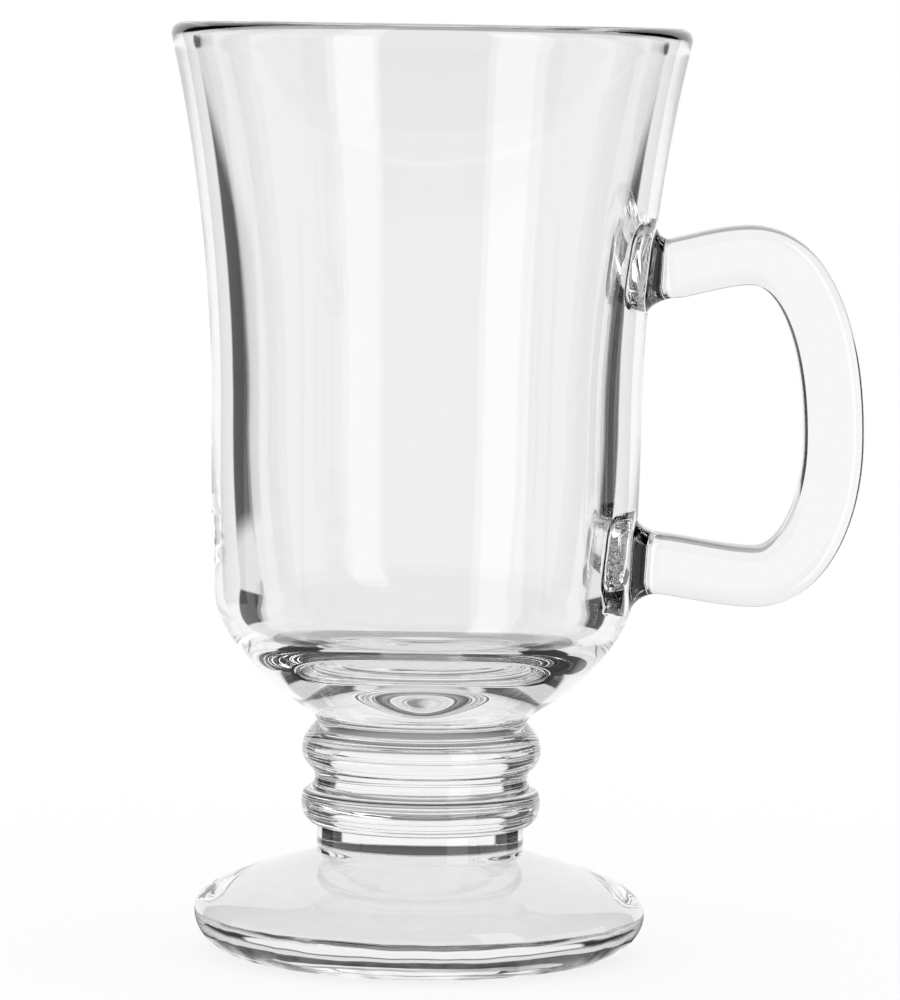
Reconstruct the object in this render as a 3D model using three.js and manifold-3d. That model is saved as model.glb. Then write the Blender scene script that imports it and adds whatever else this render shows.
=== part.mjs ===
// A stemmed latte glass in clear pressed glass, standing on the table at z = 0 with its handle along +X.
// Each piece that was fused on hot is a solid of its own. Millimetres, +Z up.
import * as THREE from "three";
import { mergeVertices } from "three/addons/utils/BufferGeometryUtils.js";
import Module from "manifold-3d";

const wasm = await Module();
wasm.setup();

// Foot: a thick round dome with a rolled edge, ground flat underneath
const baseRadius = 27;
const footRadius = 35.6;
const footEdgeHeight = 6.6;
const footHeight = 16.3;

// Stem: a plain collar under two bulging rings, the lower one with a ledge on top
const stemRadius = 16.35;
const ringRadius = 18.9;
const ledgeRadius = 17.4;
const grooveRadius = 16.9;
const collarHeight = 4.1;
const lowerRingRise = 3.8;
const lowerRingFall = 2.05;
const ledgeToGroove = 2.55;
const upperRingRise = 3.6;
const upperRingFall = 5.7;

// Bowl: straight body, rounded bottom and flared rim
const bowlHeight = 108.6;
const rimRadius = 40.9;
const bodyRadius = 33.85;
const shoulderRadius = 33.1;
const bodyTopHeight = 46.4;
const shoulderHeight = 19;
const floorThickness = 10.6;
const floorRadius = 11;
const dimpleDepth = 2.1;
const rimWall = 4;
const bodyWall = 5.55;
const shoulderWall = 6.8;

// Handle: a flat-sided bar in an open D, whose two ends are welded to flared bosses on the bowl
const barThickness = 9.35;
const barWidth = 10.6;
const barCorner = 2.4;
const leastFlat = 0.1;
const fingerRoom = 25.6;
const gripHeight = 44.1;
const upperRootHeight = 70.3;
const lowerRootHeight = 24.9;
const upperBend = 13.3;
const lowerBend = 12.1;
const upperArch = 2.6;
const lowerArch = 2;
const upperArmSlope = THREE.MathUtils.degToRad(11);
const lowerArmSlope = THREE.MathUtils.degToRad(5);
const bossLength = 2;
const bossFlare = 2.5;
const weldGap = 0.3;

// How far along its stretch each curve's handle stands, as a share of that stretch
const domeEdgePull = 0.5;
const domeTopPull = 0.45;
const domeTopDrop = 0.325;
const ringUnderPull = 0.8;
const ringUnderRise = 0.15;
const ringSidePull = 0.5;
const ringTopPull = 0.6;
const ledgeSpread = 0.8;
const grooveBend = 0.4;
const upperUnderPull = 0.4;
const upperUnderRise = 0.28;
const neckPull = 0.5;
const neckSpread = 0.06;
const neckDrop = 0.25;
const bottomPull = 0.55;
const bottomRise = 0.27;
const shoulderPull = 0.05;
const shoulderDrop = 0.35;
const flareStart = 0.33;
const flareEnd = 0.3;
const flareSpread = 0.61;
const floorPull = 0.6;
const insideDrop = 0.7;
const dimplePull = 0.35;
const upperBendPull = 0.6;
const gripUpperPull = 0.6;
const gripLowerPull = 0.55;
const lowerBendPull = 0.6;
const filletReach = 0.8;

// Fineness of the round faces
const turnSegments = 48;
const curveSteps = 6;
const barSteps = 32;
const cornerSteps = 3;
const filletSteps = 4;

// Heights of the two fused seams and of the ring crests above the table
const collarTop = footHeight + collarHeight;
const lowerCrest = collarTop + lowerRingRise;
const ledge = lowerCrest + lowerRingFall;
const groove = ledge + ledgeToGroove;
const upperCrest = groove + upperRingRise;
const neck = upperCrest + upperRingFall;
const rimTop = neck + bowlHeight;

function glass(name, geometry) {
  const material = new THREE.MeshStandardMaterial({
    color: 0xf1f5f4,
    roughness: 0.03,
    metalness: 0,
    transparent: true,
    opacity: 0.35,
  });
  const mesh = new THREE.Mesh(geometry, material);
  mesh.name = name;
  return mesh;
}

// The points of a path of radius against height, without repeats
function outline(path) {
  const points = path.getPoints(curveSteps);
  return points.filter((p, i) => i === 0 || p.distanceTo(points[i - 1]) > 1e-6);
}

// A turned solid with its axis along Z
function turned(points) {
  return new THREE.LatheGeometry(points, turnSegments).rotateX(Math.PI / 2);
}

// Radius of an outline at a height, between the two points around it
function radiusAt(points, height) {
  const i = points.findIndex((p) => p.y >= height);
  const low = points[i - 1];
  const high = points[i];
  return THREE.MathUtils.mapLinear(height, low.y, high.y, low.x, high.x);
}

function footOutline() {
  const path = new THREE.Path();
  const domeReach = footRadius - stemRadius;
  const domeRise = footHeight - footEdgeHeight;
  path.moveTo(0, 0);
  path.lineTo(baseRadius, 0);
  path.absellipse(
    baseRadius,
    footEdgeHeight,
    footRadius - baseRadius,
    footEdgeHeight,
    -Math.PI / 2,
    0,
  );
  path.bezierCurveTo(
    footRadius,
    footEdgeHeight + domeEdgePull * domeRise,
    stemRadius + domeTopPull * domeReach,
    footHeight - domeTopDrop * domeRise,
    stemRadius,
    footHeight,
  );
  path.lineTo(0, footHeight);
  return outline(path);
}

function stemOutline() {
  const path = new THREE.Path();
  path.moveTo(0, footHeight);
  path.lineTo(stemRadius, footHeight);
  path.lineTo(stemRadius, collarTop);
  path.bezierCurveTo(
    stemRadius + ringUnderPull * (ringRadius - stemRadius),
    collarTop + ringUnderRise * lowerRingRise,
    ringRadius,
    collarTop + ringSidePull * lowerRingRise,
    ringRadius,
    lowerCrest,
  );
  path.bezierCurveTo(
    ringRadius,
    lowerCrest + ringTopPull * lowerRingFall,
    ledgeRadius + ledgeSpread * (ringRadius - ledgeRadius),
    ledge,
    ledgeRadius,
    ledge,
  );
  path.quadraticCurveTo(grooveRadius, ledge + grooveBend * ledgeToGroove, grooveRadius, groove);
  path.bezierCurveTo(
    grooveRadius + upperUnderPull * (ringRadius - grooveRadius),
    groove + upperUnderRise * upperRingRise,
    ringRadius,
    upperCrest - ringSidePull * upperRingRise,
    ringRadius,
    upperCrest,
  );
  path.bezierCurveTo(
    ringRadius,
    upperCrest + neckPull * upperRingFall,
    stemRadius + neckSpread * (ringRadius - stemRadius),
    neck - neckDrop * upperRingFall,
    stemRadius,
    neck,
  );
  path.lineTo(0, neck);
  return outline(path);
}

// Outer face of the bowl, from the seam on the stem up to where the rim starts to roll over
function bowlOuter() {
  const path = new THREE.Path();
  const shoulder = neck + shoulderHeight;
  const bodyTop = neck + bodyTopHeight;
  const lip = rimTop - rimWall / 2;
  const flareRise = lip - bodyTop;
  path.moveTo(stemRadius, neck);
  path.bezierCurveTo(
    stemRadius + bottomPull * (shoulderRadius - stemRadius),
    neck + bottomRise * shoulderHeight,
    shoulderRadius - shoulderPull * (shoulderRadius - stemRadius),
    shoulder - shoulderDrop * shoulderHeight,
    shoulderRadius,
    shoulder,
  );
  path.quadraticCurveTo(bodyRadius, (shoulder + bodyTop) / 2, bodyRadius, bodyTop);
  path.bezierCurveTo(
    bodyRadius,
    bodyTop + flareStart * flareRise,
    rimRadius - flareSpread * (rimRadius - bodyRadius),
    lip - flareEnd * flareRise,
    rimRadius,
    lip,
  );
  return outline(path);
}

// Inner face of the bowl, from the rim down to the middle of the floor
function bowlInner() {
  const path = new THREE.Path();
  const shoulder = neck + shoulderHeight;
  const bodyTop = neck + bodyTopHeight;
  const lip = rimTop - rimWall / 2;
  const flareRise = lip - bodyTop;
  const floor = neck + floorThickness;
  const rimInner = rimRadius - rimWall;
  const bodyInner = bodyRadius - bodyWall;
  const shoulderInner = shoulderRadius - shoulderWall;
  path.moveTo(rimInner, lip);
  path.bezierCurveTo(
    rimInner - flareSpread * (rimInner - bodyInner),
    lip - flareEnd * flareRise,
    bodyInner,
    bodyTop + flareStart * flareRise,
    bodyInner,
    bodyTop,
  );
  path.quadraticCurveTo(bodyInner, (shoulder + bodyTop) / 2, shoulderInner, shoulder);
  path.bezierCurveTo(
    shoulderInner,
    shoulder - insideDrop * (shoulder - floor),
    floorRadius + floorPull * (shoulderInner - floorRadius),
    floor,
    floorRadius,
    floor,
  );
  path.bezierCurveTo(
    floorRadius * (1 - dimplePull),
    floor,
    floorRadius * dimplePull,
    floor - dimpleDepth,
    0,
    floor - dimpleDepth,
  );
  return outline(path);
}

// The rounded rim, half a circle from the outer face to the inner one
function rimRoll() {
  const roll = new THREE.Path();
  const middle = rimRadius - rimWall / 2;
  roll.absarc(middle, rimTop - rimWall / 2, rimWall / 2, 0, Math.PI, false);
  return outline(roll).slice(1, -1);
}

function bowlGeometry() {
  const seam = new THREE.Vector2(0, neck);
  return turned([seam, ...bowlOuter(), ...rimRoll(), ...bowlInner()]);
}

const wall = bowlOuter();

// One end of the handle: where the bar is welded on, and which way it leaves the bowl
function root(height, slope) {
  const start = radiusAt(wall, height);
  const away = new THREE.Vector3(Math.cos(slope), 0, Math.sin(slope));
  const onWall = new THREE.Vector3(start, 0, height);
  const seam = onWall.clone().addScaledVector(away, bossLength);
  const barEnd = seam.clone().addScaledVector(away, weldGap);
  return { away, seam, barEnd };
}

const upperRoot = root(neck + upperRootHeight, upperArmSlope);
const lowerRoot = root(neck + lowerRootHeight, -lowerArmSlope);

// Middle line of the bar: out along the upper arm, down the grip and back along the lower arm
function barPath() {
  const gripX = bodyRadius + fingerRoom + barThickness / 2;
  const grip = new THREE.Vector3(gripX, 0, neck + gripHeight);
  const top = new THREE.Vector3(gripX - upperBend, 0, upperRoot.barEnd.z + upperArch);
  const bottom = new THREE.Vector3(gripX - lowerBend, 0, lowerRoot.barEnd.z - lowerArch);
  const upperThird = (top.x - upperRoot.barEnd.x) / 3;
  const lowerThird = (bottom.x - lowerRoot.barEnd.x) / 3;
  const at = (from, x, z) => new THREE.Vector3(from.x + x, 0, from.z + z);
  const along = (end, third) => end.barEnd.clone().addScaledVector(end.away, third);
  const path = new THREE.CurvePath();
  path.add(
    new THREE.CubicBezierCurve3(
      upperRoot.barEnd,
      along(upperRoot, upperThird),
      at(top, -upperThird, 0),
      top,
    ),
  );
  path.add(
    new THREE.CubicBezierCurve3(
      top,
      at(top, upperBendPull * upperBend, 0),
      at(grip, 0, gripUpperPull * (top.z - grip.z)),
      grip,
    ),
  );
  path.add(
    new THREE.CubicBezierCurve3(
      grip,
      at(grip, 0, -gripLowerPull * (grip.z - bottom.z)),
      at(bottom, lowerBendPull * lowerBend, 0),
      bottom,
    ),
  );
  path.add(
    new THREE.CubicBezierCurve3(
      bottom,
      at(bottom, -lowerThird, 0),
      along(lowerRoot, lowerThird),
      lowerRoot.barEnd,
    ),
  );
  return path;
}

// Section of the bar with rounded corners, grown on all sides. X is its width and Y its thickness.
function barSection(grown) {
  const halfWidth = barWidth / 2 + grown;
  const halfThickness = barThickness / 2 + grown;
  const corner = Math.min(barCorner + grown, halfWidth - leastFlat, halfThickness - leastFlat);
  const x = halfWidth - corner;
  const y = halfThickness - corner;
  const quarter = Math.PI / 2;
  const shape = new THREE.Shape();
  shape.absarc(x, y, corner, 0, quarter);
  shape.absarc(-x, y, corner, quarter, 2 * quarter);
  shape.absarc(-x, -y, corner, 2 * quarter, 3 * quarter);
  shape.absarc(x, -y, corner, 3 * quarter, 4 * quarter);
  shape.closePath();
  return shape;
}

function barGeometry() {
  return new THREE.ExtrudeGeometry(barSection(0), {
    extrudePath: barPath(),
    steps: barSteps,
    curveSegments: cornerSteps,
  });
}

// A skin over rings of equally many points, closed by a fan at each end
function loft(rings) {
  const count = rings[0].length;
  const points = rings.flat();
  const last = rings.length - 1;
  const index = [];
  for (let i = 0; i < last; i += 1) {
    for (let j = 0; j < count; j += 1) {
      const a = i * count + j;
      const b = i * count + ((j + 1) % count);
      index.push(a, b, b + count, a, b + count, a + count);
    }
  }
  for (let j = 1; j < count - 1; j += 1) {
    index.push(0, j + 1, j);
    index.push(last * count, last * count + j, last * count + j + 1);
  }
  return new THREE.BufferGeometry().setFromPoints(points).setIndex(index);
}

function solid(geometry) {
  const bare = geometry.clone();
  bare.deleteAttribute("normal");
  bare.deleteAttribute("uv");
  const merged = mergeVertices(bare, 1e-4);
  return new wasm.Manifold(
    new wasm.Mesh({
      numProp: 3,
      vertProperties: merged.attributes.position.array,
      triVerts: new Uint32Array(merged.index.array),
    }),
  );
}

function geometryOf(manifold) {
  const mesh = manifold.getMesh();
  const geometry = new THREE.BufferGeometry();
  geometry.setAttribute("position", new THREE.BufferAttribute(mesh.vertProperties, 3));
  geometry.setIndex(new THREE.BufferAttribute(mesh.triVerts, 1));
  geometry.computeVertexNormals();
  return geometry;
}

// The bowl's outer face moved out by the weld gap, as a solid that trims the bosses
function bowlCutter() {
  const grown = wall.map((p) => new THREE.Vector2(p.x + weldGap, p.y));
  const bottom = new THREE.Vector2(0, neck);
  const top = new THREE.Vector2(0, grown[grown.length - 1].y);
  return solid(turned([bottom, ...grown, top]));
}

// A boss grows from the bar's section in a hollow fillet and ends on the bowl
function bossGeometry(end) {
  const out = new THREE.Vector3(-end.away.z, 0, end.away.x);
  const side = new THREE.Vector3(0, 1, 0);
  const ring = (depth, grown) =>
    barSection(grown)
      .getPoints(cornerSteps)
      .slice(0, -1)
      .map((p) =>
        end.seam
          .clone()
          .addScaledVector(end.away, -depth)
          .addScaledVector(side, p.x)
          .addScaledVector(out, p.y),
      );
  const rings = [ring(bossLength + bodyWall, bossFlare)];
  for (let i = filletSteps; i >= 0; i -= 1) {
    const turn = (i / filletSteps) * (Math.PI / 2);
    const depth = filletReach * bossLength * Math.sin(turn);
    rings.push(ring(depth, bossFlare * (1 - Math.cos(turn))));
  }
  return geometryOf(solid(loft(rings)).subtract(bowlCutter()));
}

const latteGlass = new THREE.Group();
latteGlass.add(
  glass("foot", turned(footOutline())),
  glass("stem", turned(stemOutline())),
  glass("bowl", bowlGeometry()),
  glass("handle", barGeometry()),
  glass("upper_handle_boss", bossGeometry(upperRoot)),
  glass("lower_handle_boss", bossGeometry(lowerRoot)),
);

export default latteGlass;
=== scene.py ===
import math

import bpy
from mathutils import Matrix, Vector


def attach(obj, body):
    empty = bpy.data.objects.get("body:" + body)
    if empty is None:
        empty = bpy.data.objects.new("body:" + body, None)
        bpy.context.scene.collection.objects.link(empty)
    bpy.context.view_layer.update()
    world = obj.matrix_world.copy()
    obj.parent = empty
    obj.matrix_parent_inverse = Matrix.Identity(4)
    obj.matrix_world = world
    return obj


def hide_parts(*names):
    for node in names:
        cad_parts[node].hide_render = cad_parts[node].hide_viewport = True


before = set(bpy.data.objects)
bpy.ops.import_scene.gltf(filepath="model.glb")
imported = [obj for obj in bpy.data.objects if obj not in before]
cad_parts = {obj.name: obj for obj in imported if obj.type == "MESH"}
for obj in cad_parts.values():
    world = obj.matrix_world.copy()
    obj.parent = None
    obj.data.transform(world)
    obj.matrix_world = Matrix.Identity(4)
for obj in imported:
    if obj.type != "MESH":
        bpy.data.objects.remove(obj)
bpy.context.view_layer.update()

mm = 0.001
print("frame loaded:", ", ".join(sorted(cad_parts)))


def linearColour(hexCode):
    parts = [int(hexCode[i : i + 2], 16) / 255 for i in (1, 3, 5)]
    parts = [p / 12.92 if p <= 0.04045 else ((p + 0.055) / 1.055) ** 2.4 for p in parts]
    return (*parts, 1.0)


# adds one node, sets its options and plain inputs, and joins other nodes' outputs to it
def addNode(tree, kind, inputs=None, links=None, **options):
    node = tree.nodes.new(kind)
    for name, value in options.items():
        setattr(node, name, value)
    for name, value in (inputs or {}).items():
        node.inputs[name].default_value = value
    for name, socket in (links or {}).items():
        tree.links.new(socket, node.inputs[name])
    return node


def newMaterial(name):
    material = bpy.data.materials.new(name)
    material.use_nodes = True
    material.node_tree.nodes.clear()
    return material, material.node_tree


# Soda-lime glass, pressed in a mould and fire polished: clear and very smooth, faintly grey in the
# mass, with the long shallow waves that the mould's cold skin leaves on it
glassLook = {
    "colour": "#f8f8f8",
    "ior": 1.52,
    "roughness": 0.0,
    "waveLength": 14.0,  # mm between the mould's waves
    "waveHeight": 0.02,  # mm
    "waveDetail": 1.0,
    "waveRoughness": 0.35,
    "shadow": "#ececec",  # what a shadow ray keeps of the light
}


def makeClearGlass():
    material, tree = newMaterial("pressed soda-lime glass")
    place = addNode(tree, "ShaderNodeTexCoord")
    waves = addNode(
        tree,
        "ShaderNodeTexNoise",
        {
            "Scale": 1 / (glassLook["waveLength"] * mm),
            "Detail": glassLook["waveDetail"],
            "Roughness": glassLook["waveRoughness"],
        },
        {"Vector": place.outputs["Object"]},
    )
    skin = addNode(
        tree,
        "ShaderNodeBump",
        {"Strength": 1.0, "Distance": glassLook["waveHeight"] * mm},
        {"Height": waves.outputs["Fac"]},
    )
    glass = addNode(
        tree,
        "ShaderNodeBsdfPrincipled",
        {
            "Base Color": linearColour(glassLook["colour"]),
            "IOR": glassLook["ior"],
            "Roughness": glassLook["roughness"],
            "Transmission Weight": 1.0,
        },
        {"Normal": skin.outputs["Normal"]},
    )
    passed = addNode(tree, "ShaderNodeBsdfTransparent", {"Color": linearColour(glassLook["shadow"])})
    ray = addNode(tree, "ShaderNodeLightPath")
    mixed = addNode(
        tree,
        "ShaderNodeMixShader",
        links={0: ray.outputs["Is Shadow Ray"], 1: glass.outputs["BSDF"], 2: passed.outputs["BSDF"]},
    )
    addNode(tree, "ShaderNodeOutputMaterial", links={"Surface": mixed.outputs["Shader"]})
    return material


# Where two pieces were fused hot the glass runs on, so the meeting faces don't show
def makeFusedSeam():
    material, tree = newMaterial("fused glass seam")
    clear = addNode(tree, "ShaderNodeBsdfTransparent")
    addNode(tree, "ShaderNodeOutputMaterial", links={"Surface": clear.outputs["BSDF"]})
    return material


# Underside of the foot, ground flat on a wheel: no mirror image shows in it, and the white table shines
# through its pale, faintly scuffed grey
groundLook = {
    "colour": "#f4f4f4",
    "scuffed": "#e4e4e4",
    "scuffLength": 9.0,  # mm between the scuffs
    "scuffDetail": 4.0,
    "scuffRoughness": 0.6,
    "scuffDistortion": 1.5,
    "matt": 0.15,  # share of the light that the ground skin scatters back
}


def makeGroundFace():
    material, tree = newMaterial("ground glass underside")
    place = addNode(tree, "ShaderNodeTexCoord")
    scuffs = addNode(
        tree,
        "ShaderNodeTexNoise",
        {
            "Scale": 1 / (groundLook["scuffLength"] * mm),
            "Detail": groundLook["scuffDetail"],
            "Roughness": groundLook["scuffRoughness"],
            "Distortion": groundLook["scuffDistortion"],
        },
        {"Vector": place.outputs["Object"]},
    )
    tone = addNode(
        tree,
        "ShaderNodeMix",
        {6: linearColour(groundLook["colour"]), 7: linearColour(groundLook["scuffed"])},
        {0: scuffs.outputs["Fac"]},
        data_type="RGBA",
    )
    matt = addNode(tree, "ShaderNodeBsdfDiffuse", links={"Color": tone.outputs[2]})
    clear = addNode(tree, "ShaderNodeBsdfTransparent", links={"Color": tone.outputs[2]})
    mixed = addNode(
        tree,
        "ShaderNodeMixShader",
        {0: groundLook["matt"]},
        {1: clear.outputs["BSDF"], 2: matt.outputs["BSDF"]},
    )
    addNode(tree, "ShaderNodeOutputMaterial", links={"Surface": mixed.outputs["Shader"]})
    return material


clearGlass = makeClearGlass()
fusedSeam = makeFusedSeam()
groundFace = makeGroundFace()
print("glass mixed")


# limits for joining points and finding flat faces (mm, and the normal's upright share), and the angles in
# degrees above which an edge stays sharp
joinWithin = 0.002
flatWithin = 0.01
flatNormal = 0.99
sharpTurned = 35
sharpBar = 50
sharpBoss = 40


# points of a cubic curve after its first one
def curve(a, b, c, d, steps):
    made = []
    for i in range(1, steps + 1):
        t = i / steps
        s = 1 - t
        share = (s**3, 3 * s * s * t, 3 * s * t * t, t**3)
        made.append(tuple(sum(w * p[k] for w, p in zip(share, (a, b, c, d))) for k in (0, 1)))
    return made


def beginMesh(name):
    bpy.ops.object.select_all(action="DESELECT")
    bpy.ops.mesh.primitive_plane_add(size=mm)
    piece = bpy.context.object
    piece.name = piece.data.name = name
    piece.data.materials.append(clearGlass)
    piece.data.materials.append(fusedSeam)
    bpy.ops.object.mode_set(mode="EDIT")
    bpy.ops.mesh.select_all(action="SELECT")
    return piece


def endMesh(piece, sharpAngle):
    bpy.ops.object.mode_set(mode="OBJECT")
    bpy.ops.object.select_all(action="DESELECT")
    piece.select_set(True)
    bpy.context.view_layer.objects.active = piece
    bpy.ops.object.shade_smooth_by_angle(angle=math.radians(sharpAngle))


# a plane shrunk to one point, drawn out along the outline and spun once round the axis
def turnPiece(name, outline, steps):
    piece = beginMesh(name)
    bpy.ops.mesh.merge(type="CENTER")
    bpy.ops.transform.translate(value=(outline[0][0] * mm, 0, outline[0][1] * mm))
    for last, point in zip(outline, outline[1:]):
        step = ((point[0] - last[0]) * mm, 0, (point[1] - last[1]) * mm)
        bpy.ops.mesh.extrude_region_move(TRANSFORM_OT_translate={"value": step})
    bpy.ops.mesh.select_all(action="SELECT")
    bpy.ops.mesh.spin(steps=steps, angle=math.tau, center=(0, 0, 0), axis=(0, 0, 1))
    bpy.ops.mesh.select_all(action="SELECT")
    bpy.ops.mesh.remove_doubles(threshold=joinWithin * mm)
    bpy.ops.mesh.normals_make_consistent(inside=False)
    bpy.ops.object.mode_set(mode="OBJECT")
    return piece


def applyModifier(piece, modifier):
    bpy.ops.object.select_all(action="DESELECT")
    piece.select_set(True)
    bpy.context.view_layer.objects.active = piece
    bpy.ops.object.modifier_apply(modifier=modifier.name)


def markSeam(piece, height):
    for face in piece.data.polygons:
        if abs(face.center.z - height * mm) < flatWithin * mm and abs(face.normal.z) > flatNormal:
            face.material_index = 1


# Foot: thick solid dome with a rolled edge; its ground underside lies a hair above the ring that it stands on
foot = {
    "ringRadius": 27.0,
    "radius": 35.6,
    "edgeHeight": 6.6,
    "height": 16.3,
    "neckRadius": 16.35,
    "groundRadius": 26.5,
    "groundDepth": 0.25,
    "edgePull": 0.5,
    "topPull": 0.45,
    "topDrop": 0.325,
    "round": 0.5523,  # pull that makes a quarter circle
    "groundSteps": 6,
    "edgeSteps": 14,
    "domeSteps": 28,
    "turnSteps": 160,
    "waveLength": 8.0,
    "waveHeight": 0.35,
    "waveFrom": 27.5,  # radius where the waves of the rolled edge begin and are full
    "waveFull": 30.5,
    "waveFade": 7.0,  # height where they begin to fade and are gone
    "waveTop": 11.0,
}


# the slow waves that the mould leaves in the rolled edge
def waveEdge(piece):
    f = foot
    group = piece.vertex_groups.new(name="rolled edge")
    for vertex in piece.data.vertices:
        away = math.hypot(vertex.co.x, vertex.co.y) / mm
        out = (away - f["waveFrom"]) / (f["waveFull"] - f["waveFrom"])
        low = (f["waveTop"] - vertex.co.z / mm) / (f["waveTop"] - f["waveFade"])
        group.add([vertex.index], min(max(out, 0), 1) * min(max(low, 0), 1), "REPLACE")
    clouds = bpy.data.textures.new("mould waves", "CLOUDS")
    clouds.noise_scale = f["waveLength"] * mm
    waves = piece.modifiers.new("mould waves", "DISPLACE")
    waves.texture = clouds
    waves.texture_coords = "LOCAL"
    waves.vertex_group = group.name
    waves.strength = f["waveHeight"] * mm
    applyModifier(piece, waves)
    piece.vertex_groups.clear()


def makeFoot():
    f = foot
    reach = f["radius"] - f["neckRadius"]
    rise = f["height"] - f["edgeHeight"]
    ground = (f["groundRadius"] - f["groundDepth"], f["groundDepth"])
    outline = [(ground[0] * i / f["groundSteps"], ground[1]) for i in range(f["groundSteps"] + 1)]
    outline.append((f["groundRadius"], 0.0))
    start = (f["ringRadius"], 0.0)
    edge = (f["radius"], f["edgeHeight"])
    outline.append(start)
    outline += curve(
        start,
        (start[0] + f["round"] * (edge[0] - start[0]), 0.0),
        (edge[0], (1 - f["round"]) * edge[1]),
        edge,
        f["edgeSteps"],
    )
    top = (f["neckRadius"], f["height"])
    outline += curve(
        edge,
        (edge[0], edge[1] + f["edgePull"] * rise),
        (top[0] + f["topPull"] * reach, top[1] - f["topDrop"] * rise),
        top,
        f["domeSteps"],
    )
    outline.append((0.0, f["height"]))
    piece = turnPiece("foot_glass", outline, f["turnSteps"])
    markSeam(piece, f["height"])
    piece.data.materials.append(groundFace)
    for face in piece.data.polygons:
        if face.normal.z < -flatNormal and abs(face.center.z - f["groundDepth"] * mm) < flatWithin * mm:
            face.material_index = 2
    waveEdge(piece)
    endMesh(piece, sharpTurned)
    return piece


# Stem: plain collar under two bulging rings, the lower one with a ledge on top
stem = {
    "bottom": 16.3,
    "radius": 16.35,
    "ringRadius": 18.9,
    "ledgeRadius": 17.4,
    "grooveRadius": 16.9,
    "collarTop": 20.4,
    "lowerCrest": 24.2,
    "ledge": 26.25,
    "groove": 28.8,
    "upperCrest": 32.4,
    "top": 38.1,
    "beadRadius": 17.0,  # where the hot glass was squeezed out under the bowl
    "beadHeight": 0.8,
    "lines": (22.6, 25.0, 29.5, 32.4, 35.7),  # fine rings that the turning mould left
    "lineHalf": 0.25,
    "lineDepth": 0.15,
    "collarSteps": 4,
    "lowerRise": (0.8, 0.15, 0.5),  # pulls of each stretch, as shares of its reach
    "lowerFall": (0.6, 0.8),
    "ledgeRise": (0.27, 0.6),
    "upperRise": (0.4, 0.28, 0.5),
    "upperFall": (0.5, 0.06, 0.25),
    "riseSteps": 16,
    "lowerFallSteps": 12,
    "ledgeSteps": 10,
    "upperFallSteps": 20,
    "beadSteps": 6,
    "turnSteps": 160,
}


# sinks one fine ring into the outline
def scoreLine(outline, height):
    low, high = height - stem["lineHalf"], height + stem["lineHalf"]
    cut = []
    for z, depth in ((low, 0.0), (height, stem["lineDepth"]), (high, 0.0)):
        p, q = [(p, q) for p, q in zip(outline, outline[1:]) if p[1] <= z < q[1]][0]
        cut.append((p[0] + (q[0] - p[0]) * (z - p[1]) / (q[1] - p[1]) - depth, z))
    return [p for p in outline if p[1] < low] + cut + [p for p in outline if p[1] > high]


def makeStem():
    s = stem
    outline = [(0.0, s["bottom"]), (s["radius"], s["bottom"])]
    steps = s["collarSteps"]
    for i in range(1, steps + 1):
        outline.append((s["radius"], s["bottom"] + i / steps * (s["collarTop"] - s["bottom"])))
    swell = s["ringRadius"] - s["radius"]
    rise = s["lowerCrest"] - s["collarTop"]
    out, low, high = s["lowerRise"]
    outline += curve(
        outline[-1],
        (s["radius"] + out * swell, s["collarTop"] + low * rise),
        (s["ringRadius"], s["collarTop"] + high * rise),
        (s["ringRadius"], s["lowerCrest"]),
        s["riseSteps"],
    )
    fall = s["ledge"] - s["lowerCrest"]
    high, out = s["lowerFall"]
    outline += curve(
        outline[-1],
        (s["ringRadius"], s["lowerCrest"] + high * fall),
        (s["ledgeRadius"] + out * (s["ringRadius"] - s["ledgeRadius"]), s["ledge"]),
        (s["ledgeRadius"], s["ledge"]),
        s["lowerFallSteps"],
    )
    climb = s["groove"] - s["ledge"]
    low, high = s["ledgeRise"]
    outline += curve(
        outline[-1],
        ((s["ledgeRadius"] + 2 * s["grooveRadius"]) / 3, s["ledge"] + low * climb),
        (s["grooveRadius"], s["ledge"] + high * climb),
        (s["grooveRadius"], s["groove"]),
        s["ledgeSteps"],
    )
    rise = s["upperCrest"] - s["groove"]
    out, low, high = s["upperRise"]
    outline += curve(
        outline[-1],
        (s["grooveRadius"] + out * (s["ringRadius"] - s["grooveRadius"]), s["groove"] + low * rise),
        (s["ringRadius"], s["upperCrest"] - high * rise),
        (s["ringRadius"], s["upperCrest"]),
        s["riseSteps"],
    )
    fall = s["top"] - s["upperCrest"]
    low, out, high = s["upperFall"]
    outline += curve(
        outline[-1],
        (s["ringRadius"], s["upperCrest"] + low * fall),
        (s["radius"] + out * swell, s["top"] - high * fall),
        (s["radius"], s["top"] - s["beadHeight"]),
        s["upperFallSteps"],
    )
    outline += curve(
        outline[-1],
        (s["beadRadius"], s["top"] - s["beadHeight"]),
        (s["beadRadius"], s["top"] - s["beadHeight"] / 2),
        (s["beadRadius"], s["top"]),
        s["beadSteps"],
    )
    outline.append((0.0, s["top"]))
    for height in s["lines"]:
        outline = scoreLine(outline, height)
    piece = turnPiece("stem_glass", outline, s["turnSteps"])
    markSeam(piece, s["bottom"])
    markSeam(piece, s["top"])
    endMesh(piece, sharpTurned)
    return piece


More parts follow.
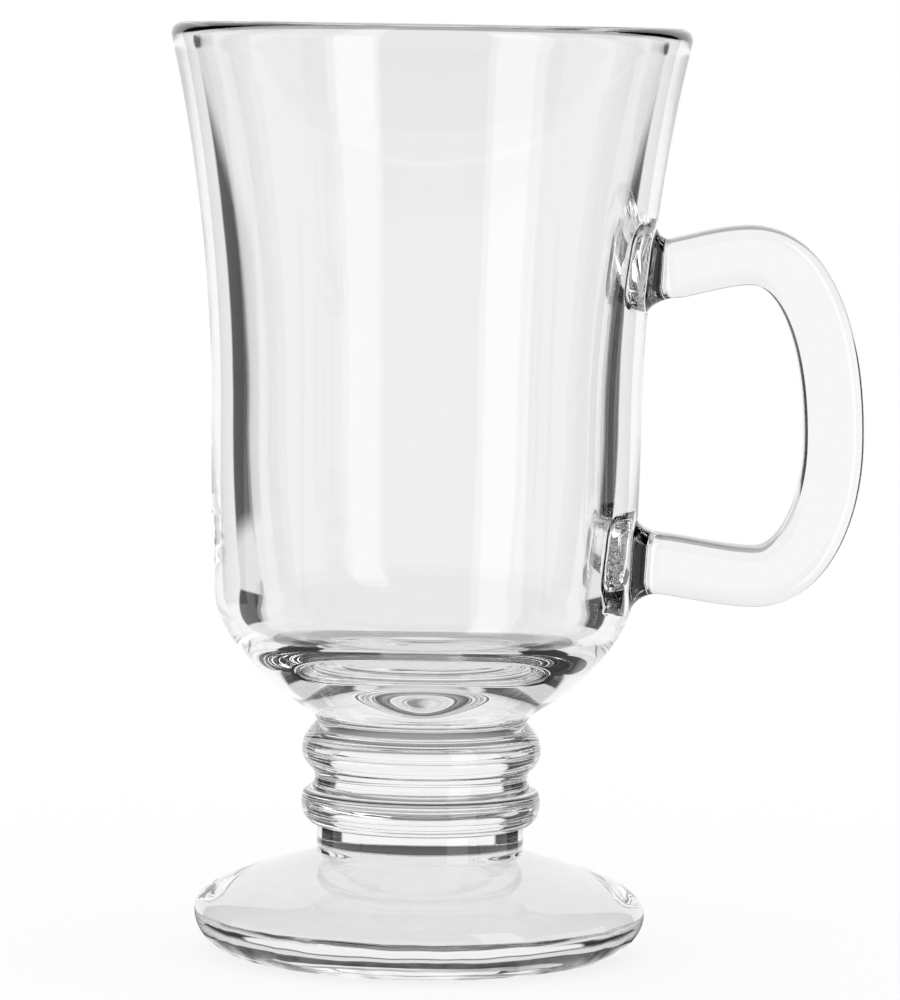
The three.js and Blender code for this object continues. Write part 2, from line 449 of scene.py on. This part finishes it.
# Bowl: straight body with a rounded bottom and a flared, rolled rim
bowl = {
    "seam": 38.1,
    "seamRadius": 17.0,
    "shoulder": 57.1,
    "shoulderRadius": 33.1,
    "bodyTop": 84.5,
    "bodyRadius": 33.85,
    "rimTop": 146.7,
    "rimRadius": 40.9,
    "rimWall": 4.0,
    "bodyWall": 5.55,
    "shoulderWall": 6.8,
    "floor": 48.7,
    "floorRadius": 11.0,
    "dimple": 46.6,
    "bottomPull": (0.55, 0.27, 0.05, 0.35),  # pulls of each stretch, as shares of its reach
    "bodyPull": 2 / 3,
    "flarePull": (0.33, 0.61, 0.3),
    "innerPull": (0.7, 0.6),
    "dimplePull": (0.65, 0.35),
    "roundSteps": 30,  # steps of the long stretches, of the body, of the rim and of the dimple
    "bodySteps": 16,
    "rimSteps": 16,
    "dimpleSteps": 12,
    "turnSteps": 192,
}


def bowlOutline():
    b = bowl
    lip = b["rimTop"] - b["rimWall"] / 2
    seam = (b["seamRadius"], b["seam"])
    shoulder = (b["shoulderRadius"], b["shoulder"])
    bodyTop = (b["bodyRadius"], b["bodyTop"])
    rim = (b["rimRadius"], lip)
    swell = shoulder[0] - seam[0]
    rise = shoulder[1] - seam[1]
    flareRise = lip - bodyTop[1]
    flare = rim[0] - bodyTop[0]
    halfBody = (shoulder[1] + bodyTop[1]) / 2
    out, low, inward, high = b["bottomPull"]
    outline = [(0.0, b["seam"]), seam]
    outline += curve(
        seam,
        (seam[0] + out * swell, seam[1] + low * rise),
        (shoulder[0] - inward * swell, shoulder[1] - high * rise),
        shoulder,
        b["roundSteps"],
    )
    bend = (bodyTop[0], halfBody)
    outline += curve(
        shoulder,
        tuple(p + (q - p) * b["bodyPull"] for p, q in zip(shoulder, bend)),
        tuple(p + (q - p) * b["bodyPull"] for p, q in zip(bodyTop, bend)),
        bodyTop,
        b["bodySteps"],
    )
    low, inward, high = b["flarePull"]
    outline += curve(
        bodyTop,
        (bodyTop[0], bodyTop[1] + low * flareRise),
        (rim[0] - inward * flare, rim[1] - high * flareRise),
        rim,
        b["roundSteps"],
    )
    halfWall = b["rimWall"] / 2
    middle = b["rimRadius"] - halfWall
    for i in range(1, b["rimSteps"]):
        turn = math.pi * i / b["rimSteps"]
        outline.append((middle + halfWall * math.cos(turn), lip + halfWall * math.sin(turn)))
    rimIn = (b["rimRadius"] - b["rimWall"], lip)
    bodyIn = (b["bodyRadius"] - b["bodyWall"], b["bodyTop"])
    shoulderIn = (b["shoulderRadius"] - b["shoulderWall"], b["shoulder"])
    flareIn = rimIn[0] - bodyIn[0]
    outline.append(rimIn)
    outline += curve(
        rimIn,
        (rimIn[0] - inward * flareIn, lip - high * flareRise),
        (bodyIn[0], bodyIn[1] + low * flareRise),
        bodyIn,
        b["roundSteps"],
    )
    bend = (bodyIn[0], halfBody)
    outline += curve(
        bodyIn,
        tuple(p + (q - p) * b["bodyPull"] for p, q in zip(bodyIn, bend)),
        tuple(p + (q - p) * b["bodyPull"] for p, q in zip(shoulderIn, bend)),
        shoulderIn,
        b["bodySteps"],
    )
    floorEdge = (b["floorRadius"], b["floor"])
    down, out = b["innerPull"]
    outline += curve(
        shoulderIn,
        (shoulderIn[0], shoulderIn[1] - down * (shoulderIn[1] - b["floor"])),
        (floorEdge[0] + out * (shoulderIn[0] - floorEdge[0]), b["floor"]),
        floorEdge,
        b["roundSteps"],
    )
    outer, inner = b["dimplePull"]
    outline += curve(
        floorEdge,
        (outer * floorEdge[0], b["floor"]),
        (inner * floorEdge[0], b["dimple"]),
        (0.0, b["dimple"]),
        b["dimpleSteps"],
    )
    return outline


def makeBowl():
    piece = turnPiece("bowl_glass", bowlOutline(), bowl["turnSteps"])
    markSeam(piece, bowl["seam"])
    endMesh(piece, sharpTurned)
    return piece


# Handle: a flat-sided bar bent to an open D, and the two flared bosses that join it to the bowl
handle = {
    "thickness": 9.35,
    "width": 10.6,
    "corner": 2.4,
    "cornerSteps": 12,
    "bendSteps": 26,
    "bossShare": 0.1,  # how much of each arm's curve belongs to its boss
    "upperEnd": (37.0, 108.85),
    "upperPull": (42.2, 109.85),
    "topPull": (46.4, 111.45),
    "top": (50.8, 111.45),
    "topBend": (58.8, 111.45),
    "gripAbove": (64.12, 99.7),
    "grip": (64.12, 82.2),
    "gripBelow": (64.12, 70.5),
    "bottomBend": (59.3, 60.8),
    "bottom": (52.0, 60.8),
    "bottomPull": (46.4, 60.8),
    "lowerPull": (41.2, 62.3),
    "lowerEnd": (35.6, 62.8),
}
boss = {
    "flare": 1.6,  # how much wider than the bar it is where it meets the bowl
    "filletSteps": 14,
    "plugDepth": 2.0,
    "cutterReach": 1.5,
}


def barStations():
    h = handle
    stretches = (
        ("upperEnd", "upperPull", "topPull", "top"),
        ("top", "topBend", "gripAbove", "grip"),
        ("grip", "gripBelow", "bottomBend", "bottom"),
        ("bottom", "bottomPull", "lowerPull", "lowerEnd"),
    )
    steps = h["bendSteps"]
    skipped = round(steps * h["bossShare"])
    line = [h["upperEnd"]]
    for names in stretches:
        line += curve(*[h[n] for n in names], steps)
    line = line[skipped : len(line) - skipped]
    made = []
    for i, point in enumerate(line):
        before = line[max(i - 1, 0)]
        after = line[min(i + 1, len(line) - 1)]
        made.append((*point, math.atan2(after[1] - before[1], after[0] - before[0])))
    for i in range(1, len(made)):  # no jump of a whole turn between neighbours
        x, z, angle = made[i]
        made[i] = (x, z, made[i - 1][2] + math.remainder(angle - made[i - 1][2], math.tau))
    return made


# the bar's section at one station: a plane set square to the bar, its corners rounded
def drawSection(name, station):
    x, z, angle = station
    bpy.ops.object.select_all(action="DESELECT")
    bpy.ops.mesh.primitive_plane_add(
        size=1, location=(x * mm, 0, z * mm), rotation=(0, math.pi / 2 - angle, 0)
    )
    piece = bpy.context.object
    piece.name = piece.data.name = name
    piece.data.materials.append(clearGlass)
    piece.data.materials.append(fusedSeam)
    piece.scale = (handle["thickness"] * mm, handle["width"] * mm, 1)
    bpy.ops.object.transform_apply(location=True, rotation=True, scale=True)
    bpy.ops.object.mode_set(mode="EDIT")
    bpy.ops.mesh.select_all(action="SELECT")
    bpy.ops.mesh.bevel(
        offset=handle["corner"] * mm,
        segments=handle["cornerSteps"],
        affect="VERTICES",
    )
    bpy.ops.mesh.select_all(action="SELECT")
    return piece


def makeHandle():
    stations = barStations()
    piece = drawSection("handle_glass", stations[0])
    for last, station in zip(stations, stations[1:]):
        step = ((station[0] - last[0]) * mm, 0, (station[1] - last[1]) * mm)
        bpy.ops.mesh.extrude_region_move(TRANSFORM_OT_translate={"value": step})
        bpy.ops.transform.rotate(
            value=station[2] - last[2],
            orient_axis="Y",
            center_override=(station[0] * mm, 0, station[1] * mm),
        )
    bpy.ops.mesh.select_all(action="SELECT")
    bpy.ops.mesh.normals_make_consistent(inside=False)
    bpy.ops.object.mode_set(mode="OBJECT")
    for face in piece.data.polygons:
        if len(face.vertices) > 4:
            face.material_index = 1
    endMesh(piece, sharpBar)
    return piece


# rings grow in the plane of the weld, are pulled onto the bowl's wall, and end in a plug inside the wall
def makeBoss(name, station, bowlPiece):
    b = boss
    piece = drawSection(name, station)
    centre = (station[0] * mm, 0, station[1] * mm)
    group = piece.vertex_groups.new(name="pulled")
    grown = 1.0
    for i in range(1, b["filletSteps"] + 1):
        turn = math.pi / 2 * i / b["filletSteps"]
        size = 1 + (b["flare"] - 1) * (1 - math.cos(turn))
        bpy.ops.mesh.extrude_region_move()
        bpy.ops.transform.resize(value=(size / grown,) * 3, center_override=centre)
        bpy.context.scene.tool_settings.vertex_group_weight = math.sin(turn)
        bpy.ops.object.vertex_group_assign()
        grown = size
    bpy.ops.object.mode_set(mode="OBJECT")
    pull = piece.modifiers.new("onto the wall", "SHRINKWRAP")
    pull.target = bowlPiece
    pull.wrap_method = "PROJECT"
    pull.use_project_x = True
    pull.use_negative_direction = True
    pull.use_positive_direction = True
    pull.vertex_group = group.name
    applyModifier(piece, pull)
    bpy.ops.object.mode_set(mode="EDIT")
    bpy.ops.mesh.duplicate()  # a copy of the ring on the wall, for the pocket's cutter
    bpy.ops.mesh.separate(type="SELECTED")
    bpy.ops.object.mode_set(mode="OBJECT")
    cutter = [o for o in bpy.context.selected_objects if o is not piece][0]
    bpy.ops.object.select_all(action="DESELECT")
    piece.select_set(True)
    ring = min((f for f in piece.data.polygons if len(f.vertices) > 4), key=lambda f: f.center.x)
    ring.select = True
    bpy.ops.object.mode_set(mode="EDIT")
    bpy.ops.mesh.select_mode(type="FACE")
    bpy.ops.mesh.extrude_region_move(
        TRANSFORM_OT_translate={"value": (-b["plugDepth"] * mm, 0, 0)}
    )
    bpy.ops.object.mode_set(mode="OBJECT")
    inside = {v for f in piece.data.polygons if f.select for v in f.vertices}
    for face in piece.data.polygons:
        if len(face.vertices) > 4 or inside & set(face.vertices):
            face.material_index = 1
    bpy.ops.object.mode_set(mode="EDIT")
    bpy.ops.mesh.select_all(action="SELECT")
    bpy.ops.mesh.normals_make_consistent(inside=False)
    piece.vertex_groups.clear()
    endMesh(piece, sharpBoss)
    cutPocket(bowlPiece, cutter)
    return piece


# sinks the plug's pocket into the bowl's wall
def cutPocket(bowlPiece, cutter):
    b = boss
    bpy.ops.object.select_all(action="DESELECT")
    cutter.select_set(True)
    bpy.context.view_layer.objects.active = cutter
    bpy.ops.object.mode_set(mode="EDIT")
    bpy.ops.mesh.select_all(action="SELECT")
    bpy.ops.transform.translate(value=(b["cutterReach"] * mm, 0, 0))
    bpy.ops.mesh.extrude_region_move(
        TRANSFORM_OT_translate={"value": (-(b["cutterReach"] + b["plugDepth"]) * mm, 0, 0)}
    )
    bpy.ops.mesh.select_all(action="SELECT")
    bpy.ops.mesh.normals_make_consistent(inside=False)
    bpy.ops.object.mode_set(mode="OBJECT")
    for face in cutter.data.polygons:
        face.material_index = 1
    cut = bowlPiece.modifiers.new("pocket", "BOOLEAN")
    cut.operation = "DIFFERENCE"
    cut.object = cutter
    cut.solver = "EXACT"
    cut.material_mode = "TRANSFER"
    applyModifier(bowlPiece, cut)
    bpy.data.objects.remove(cutter)


footPiece = makeFoot()
stemPiece = makeStem()
bowlPiece = makeBowl()
print("foot, stem and bowl turned")
handlePiece = makeHandle()
stations = barStations()
upperBoss = makeBoss("upper_boss_glass", stations[0], bowlPiece)
lowerBoss = makeBoss("lower_boss_glass", stations[-1], bowlPiece)
endMesh(bowlPiece, sharpTurned)
print("handle and bosses made")

for piece, node in (
    (footPiece, "foot"),
    (stemPiece, "stem"),
    (bowlPiece, "bowl"),
    (handlePiece, "handle"),
    (upperBoss, "upper_handle_boss"),
    (lowerBoss, "lower_handle_boss"),
):
    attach(piece, "root")
    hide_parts(node)


# White table under the glass. To the eye it runs on for ever; rays bent by the glass see it as a small table
# that glows with painted light and painted shade
floorCard = {
    "size": 8.0,
    "colour": "#e7e7e7",
    "glow": 0.8,
    "underFoot": 0.92,  # brightness to bent rays, all painted light and painted shade: where the foot's ground face lies on it, in painted light patches under the rolled edge, from dark to bright, in a painted shadow round the foot and a plain dimmer grey beyond it
    "paintedLightPatches": (0.2, 1.1),  # in the light that the rolled edge throws under itself, from dark to bright,
    "shade": 0.06,  # in the shade round the foot
    "table": 0.35,  # and beyond it
    "patchLength": 0.01,  # m
    "patchDetail": 2.0,
    "patchDistortion": 1.0,
    "patchNoise": (0.4, 0.6),  # noise that gives a dark and a bright patch
    "underTo": 0.0268,  # m from the axis
    "patchesTo": 0.0356,
    "shadeFrom": 0.045,
    "shadeTo": 0.065,
    "tableFrom": 0.065,
    "tableTo": 0.085,
}
# Bright-field studio: pale all round, so that the glass stays clear from every side, but for a dark gap
# at each side of the wall behind, which draws the glass's dark edges.
# Each card: middle azimuth from straight behind, half width, lowest and highest elevation in degrees,
# brightness
studio = {
    "room": 0.02,
    "edge": 3.0,  # degrees over which a card's edge fades
    "cards": {
        "white wall behind": (1, 37, -32, 50, 1.0),
        "left soft box": (-88, 22, -32, 16, 0.9),
        "right soft box": (88, 22, -32, 16, 1.0),
        "front window": (137, 13, -45, 45, 2.2),
        "front fill": (180, 68, -32, 12, 0.85),
        "ceiling": (0, 200, 52, 90, 0.2),
        "table all round": (0, 200, -34, -13, 0.8),
        "table close by": (0, 200, -90, -34, 0.5),
    },
}


def bentRays(tree):
    ray = addNode(tree, "ShaderNodeLightPath")
    bent = addNode(
        tree,
        "ShaderNodeMath",
        links={0: ray.outputs["Is Glossy Ray"], 1: ray.outputs["Is Transmission Ray"]},
        operation="MAXIMUM",
    )
    return ray, bent


def makeFloor():
    bpy.ops.object.select_all(action="DESELECT")
    bpy.ops.mesh.primitive_plane_add(size=floorCard["size"])
    floor = bpy.context.object
    floor.name = floor.data.name = "floor_card"
    material, tree = newMaterial("matt white card")
    card = addNode(tree, "ShaderNodeBsdfDiffuse", {"Color": linearColour(floorCard["colour"])})
    glow = addNode(tree, "ShaderNodeEmission", {"Color": linearColour("#ffffff"), "Strength": 1.0})
    ray, bent = bentRays(tree)
    share = addNode(
        tree,
        "ShaderNodeMath",
        {1: floorCard["glow"]},
        {0: ray.outputs["Is Camera Ray"]},
        operation="MULTIPLY",
    )
    lit = addNode(
        tree,
        "ShaderNodeMixShader",
        links={0: share.outputs[0], 1: card.outputs["BSDF"], 2: glow.outputs["Emission"]},
    )
    place = addNode(tree, "ShaderNodeTexCoord")
    away = addNode(tree, "ShaderNodeVectorMath", links={0: place.outputs["Object"]}, operation="LENGTH")
    # to bent rays the floor glows with a painted shadow round the foot, painted light patches under the
    # rolled edge and a dimmer grey beyond
    shade = addNode(
        tree,
        "ShaderNodeMapRange",
        {
            "From Min": floorCard["shadeFrom"],
            "From Max": floorCard["shadeTo"],
            "To Min": floorCard["shade"],
            "To Max": floorCard["table"],
        },
        {"Value": away.outputs["Value"]},
        interpolation_type="SMOOTHSTEP",
    )
    noise = addNode(
        tree,
        "ShaderNodeTexNoise",
        {
            "Scale": 1 / floorCard["patchLength"],
            "Detail": floorCard["patchDetail"],
            "Distortion": floorCard["patchDistortion"],
        },
        {"Vector": place.outputs["Object"]},
    )
    paintedLightPatches = addNode(
        tree,
        "ShaderNodeMapRange",
        {
            "From Min": floorCard["patchNoise"][0],
            "From Max": floorCard["patchNoise"][1],
            "To Min": floorCard["paintedLightPatches"][0],
            "To Max": floorCard["paintedLightPatches"][1],
        },
        {"Value": noise.outputs["Fac"]},
    )
    thrown = addNode(
        tree, "ShaderNodeMath", {1: floorCard["patchesTo"]}, {0: away.outputs["Value"]}, operation="LESS_THAN"
    )
    edge = addNode(
        tree,
        "ShaderNodeMix",
        links={0: thrown.outputs[0], 2: shade.outputs[0], 3: paintedLightPatches.outputs[0]},
    )
    inner = addNode(
        tree, "ShaderNodeMath", {1: floorCard["underTo"]}, {0: away.outputs["Value"]}, operation="LESS_THAN"
    )
    bright = addNode(
        tree,
        "ShaderNodeMix",
        {3: floorCard["underFoot"]},
        {0: inner.outputs[0], 2: edge.outputs[0]},
    )
    through = addNode(
        tree,
        "ShaderNodeEmission",
        {"Color": linearColour("#ffffff")},
        {"Strength": bright.outputs[0]},
    )
    beyond = addNode(
        tree,
        "ShaderNodeMapRange",
        {"From Min": floorCard["tableFrom"], "From Max": floorCard["tableTo"]},
        {"Value": away.outputs["Value"]},
        interpolation_type="SMOOTHSTEP",
    )
    clear = addNode(tree, "ShaderNodeBsdfTransparent")
    table = addNode(
        tree,
        "ShaderNodeMixShader",
        links={0: beyond.outputs[0], 1: through.outputs["Emission"], 2: clear.outputs["BSDF"]},
    )
    mixed = addNode(
        tree,
        "ShaderNodeMixShader",
        links={0: bent.outputs[0], 1: lit.outputs["Shader"], 2: table.outputs["Shader"]},
    )
    addNode(tree, "ShaderNodeOutputMaterial", links={"Surface": mixed.outputs["Shader"]})
    floor.data.materials.append(material)
    return floor


# one soft-edged card on the sky, as its brightness in each direction
def skyCard(tree, azimuth, elevation, card):
    middle, half, low, high, brightness = card
    edge = studio["edge"]
    turned = addNode(tree, "ShaderNodeMath", {1: math.radians(middle)}, {0: azimuth}, operation="SUBTRACT")
    wrapped = addNode(
        tree, "ShaderNodeMath", {1: math.pi, 2: -math.pi}, {0: turned.outputs[0]}, operation="WRAP"
    )
    across = addNode(tree, "ShaderNodeMath", links={0: wrapped.outputs[0]}, operation="ABSOLUTE")
    masks = []
    for value, start, end in (
        (across.outputs[0], half + edge / 2, half - edge / 2),
        (elevation, low - edge / 2, low + edge / 2),
        (elevation, high + edge / 2, high - edge / 2),
    ):
        masks.append(
            addNode(
                tree,
                "ShaderNodeMapRange",
                {"From Min": math.radians(start), "From Max": math.radians(end)},
                {"Value": value},
                interpolation_type="SMOOTHSTEP",
            )
        )
    made = masks[0]
    for mask in masks[1:]:
        made = addNode(
            tree, "ShaderNodeMath", links={0: made.outputs[0], 1: mask.outputs[0]}, operation="MULTIPLY"
        )
    return addNode(tree, "ShaderNodeMath", {1: brightness}, {0: made.outputs[0]}, operation="MULTIPLY")


def makeWorld():
    world = bpy.data.worlds.new("white studio")
    bpy.context.scene.world = world
    world.use_nodes = True
    tree = world.node_tree
    tree.nodes.clear()
    place = addNode(tree, "ShaderNodeTexCoord")
    axes = addNode(tree, "ShaderNodeSeparateXYZ", links={"Vector": place.outputs["Generated"]})
    azimuth = addNode(
        tree, "ShaderNodeMath", links={0: axes.outputs["X"], 1: axes.outputs["Y"]}, operation="ARCTAN2"
    )
    elevation = addNode(tree, "ShaderNodeMath", links={0: axes.outputs["Z"]}, operation="ARCSINE")
    room = addNode(tree, "ShaderNodeValue")
    room.outputs[0].default_value = studio["room"]
    shown = room
    for card in studio["cards"].values():
        made = skyCard(tree, azimuth.outputs[0], elevation.outputs[0], card)
        shown = addNode(
            tree, "ShaderNodeMath", links={0: shown.outputs[0], 1: made.outputs[0]}, operation="MAXIMUM"
        )
    ray, bent = bentRays(tree)
    # to the eye the wall is pure white; the table is lit so that it is as white as the wall
    plain = addNode(
        tree,
        "ShaderNodeMix",
        {2: 1 / linearColour(floorCard["colour"])[0], 3: 1.0},
        {0: ray.outputs["Is Camera Ray"]},
    )
    strength = addNode(
        tree, "ShaderNodeMix", links={0: bent.outputs[0], 2: plain.outputs[0], 3: shown.outputs[0]}
    )
    back = addNode(
        tree,
        "ShaderNodeBackground",
        {"Color": linearColour("#ffffff")},
        {"Strength": strength.outputs[0]},
    )
    addNode(tree, "ShaderNodeOutputWorld", links={"Surface": back.outputs["Background"]})


makeFloor()
makeWorld()
print("studio set")

# Camera at rim height, looking a little down at the middle of the glass
view = {
    "aim": (3.9, 0.0, 72.0),
    "distance": 948.0,
    "height": 150.1,
    "lens": 217.1,
    "sensor": 36.0,
    "roll": 0.9,
}


def makeCamera():
    data = bpy.data.cameras.new("camera")
    camera = bpy.data.objects.new("camera", data)
    bpy.context.scene.collection.objects.link(camera)
    data.lens = view["lens"]
    data.sensor_width = view["sensor"]
    aim = Vector(view["aim"]) * mm
    eye = Vector((view["aim"][0], -view["distance"], view["height"])) * mm
    camera.location = eye
    turn = (aim - eye).to_track_quat("-Z", "Y").to_euler()
    camera.rotation_euler = turn
    camera.rotation_euler.rotate_axis("Z", math.radians(view["roll"]))
    bpy.context.scene.camera = camera


makeCamera()
scene = bpy.context.scene
scene.view_settings.view_transform = "Standard"
scene.cycles.max_bounces = 32  # thick glass needs long light paths
scene.cycles.transmission_bounces = 32
scene.cycles.glossy_bounces = 16
scene.cycles.transparent_max_bounces = 32
print("camera set")
